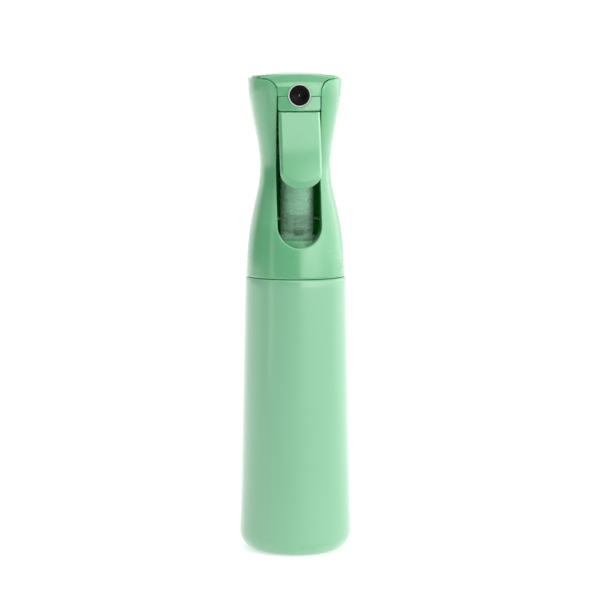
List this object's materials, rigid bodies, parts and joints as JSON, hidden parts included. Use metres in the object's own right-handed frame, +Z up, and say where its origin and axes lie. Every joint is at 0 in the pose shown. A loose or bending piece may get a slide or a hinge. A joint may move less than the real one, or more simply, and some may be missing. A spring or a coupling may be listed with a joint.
{
  "type": "hand mister",
  "caption": "Slim refillable spray bottle with a screw-on continuous mist head, squeeze trigger and round front nozzle.",
  "frame": {"origin": "on the bottle's axis at the plane of its foot, which is the bottom centre of the bounding box within about 1.2 mm, because the trigger reaches further forward than the back does", "axes": "+Z up along the bottle's axis, -Y forward, the way the nozzle points, +X to the object's left as seen from behind it"},
  "size_m": [0.0581, 0.0603, 0.2459],
  "materials": {
    "bottle_plastic": "smooth moulded satin gloss",
    "mint_plastic": "smooth moulded satin gloss",
    "frosted_plastic": "milky translucent polypropylene",
    "clear_plastic": "clear extruded tube",
    "white_plastic": "moulded acetal",
    "black_plastic": "polished moulded black",
    "seal_rubber": "matte elastomer",
    "spring_steel": "drawn stainless wire"
  },
  "bodies": {
    "bottle": {"bottle": "bottle_plastic"},
    "neck_seal": {"neck_gasket": "seal_rubber"},
    "head": {"closure_ring": "mint_plastic", "neck_plug": "white_plastic", "vent_valve": "seal_rubber", "dip_tube": "clear_plastic", "barrel_body": "frosted_plastic", "buffer_spring": "spring_steel", "manifold": "white_plastic", "manifold_o_ring": "seal_rubber", "outlet_spring": "spring_steel", "valve_cap": "white_plastic", "plunger": "white_plastic", "plunger_seal": "seal_rubber", "pump_spring": "spring_steel", "nozzle_block": "mint_plastic", "nozzle_collar": "mint_plastic", "nozzle_tip": "black_plastic", "spin_core": "white_plastic", "nozzle_o_ring": "seal_rubber", "pivot_pin": "spring_steel", "head_shell": "mint_plastic", "top_cover": "mint_plastic"},
    "trigger_lever": {"trigger": "mint_plastic"},
    "pump": {"pump_cup": "white_plastic", "cup_seal": "seal_rubber", "ball_retainer": "white_plastic"},
    "ball": {"inlet_ball": "spring_steel"},
    "buffer": {"buffer_piston": "white_plastic", "buffer_seal": "seal_rubber"},
    "poppet": {"outlet_poppet": "black_plastic"}
  },
  "joints": [
    {"name": "head_rise", "type": "slide", "parent": "bottle", "child": "neck_seal", "axis": [0, 0, 1], "range_m": [0, 0.0063]},
    {"name": "head_turn", "type": "hinge", "parent": "neck_seal", "child": "head", "pos_m": [0, 0, 0.15], "axis": [0, 0, 1], "range_deg": [0, 540]},
    {"name": "trigger_pivot", "type": "hinge", "parent": "head", "child": "trigger_lever", "pos_m": [0, -0.0135, 0.2215], "axis": [1, 0, 0], "range_deg": [0, 17], "stiffness_Nm_per_rad": 0.2, "springref_deg": -17.19},
    {"name": "pump_stroke", "type": "slide", "parent": "head", "child": "pump", "axis": [0, 0, 1], "range_m": [0, 0.00687], "deforming": ["pump_spring"]},
    {"name": "inlet_ball_lift", "type": "slide", "parent": "pump", "child": "ball", "axis": [0, 0, 1], "range_m": [0, 0.0009]},
    {"name": "buffer_stroke", "type": "slide", "parent": "head", "child": "buffer", "axis": [0, 0, -1], "range_m": [0, 0.007], "stiffness_N_per_m": 200, "springref_m": -0.02, "deforming": ["buffer_spring"]},
    {"name": "outlet_lift", "type": "slide", "parent": "head", "child": "poppet", "axis": [0, 0, 1], "range_m": [0, 0.001], "stiffness_N_per_m": 20, "springref_m": -0.003, "deforming": ["outlet_spring"]}
  ],
  "couplings": [
    {"joint": "head_turn", "follows": "head_rise", "rad_per_m": 1496},
    {"joint": "trigger_pivot", "follows": "pump_stroke", "rad_per_m": 43.159}
  ]
}
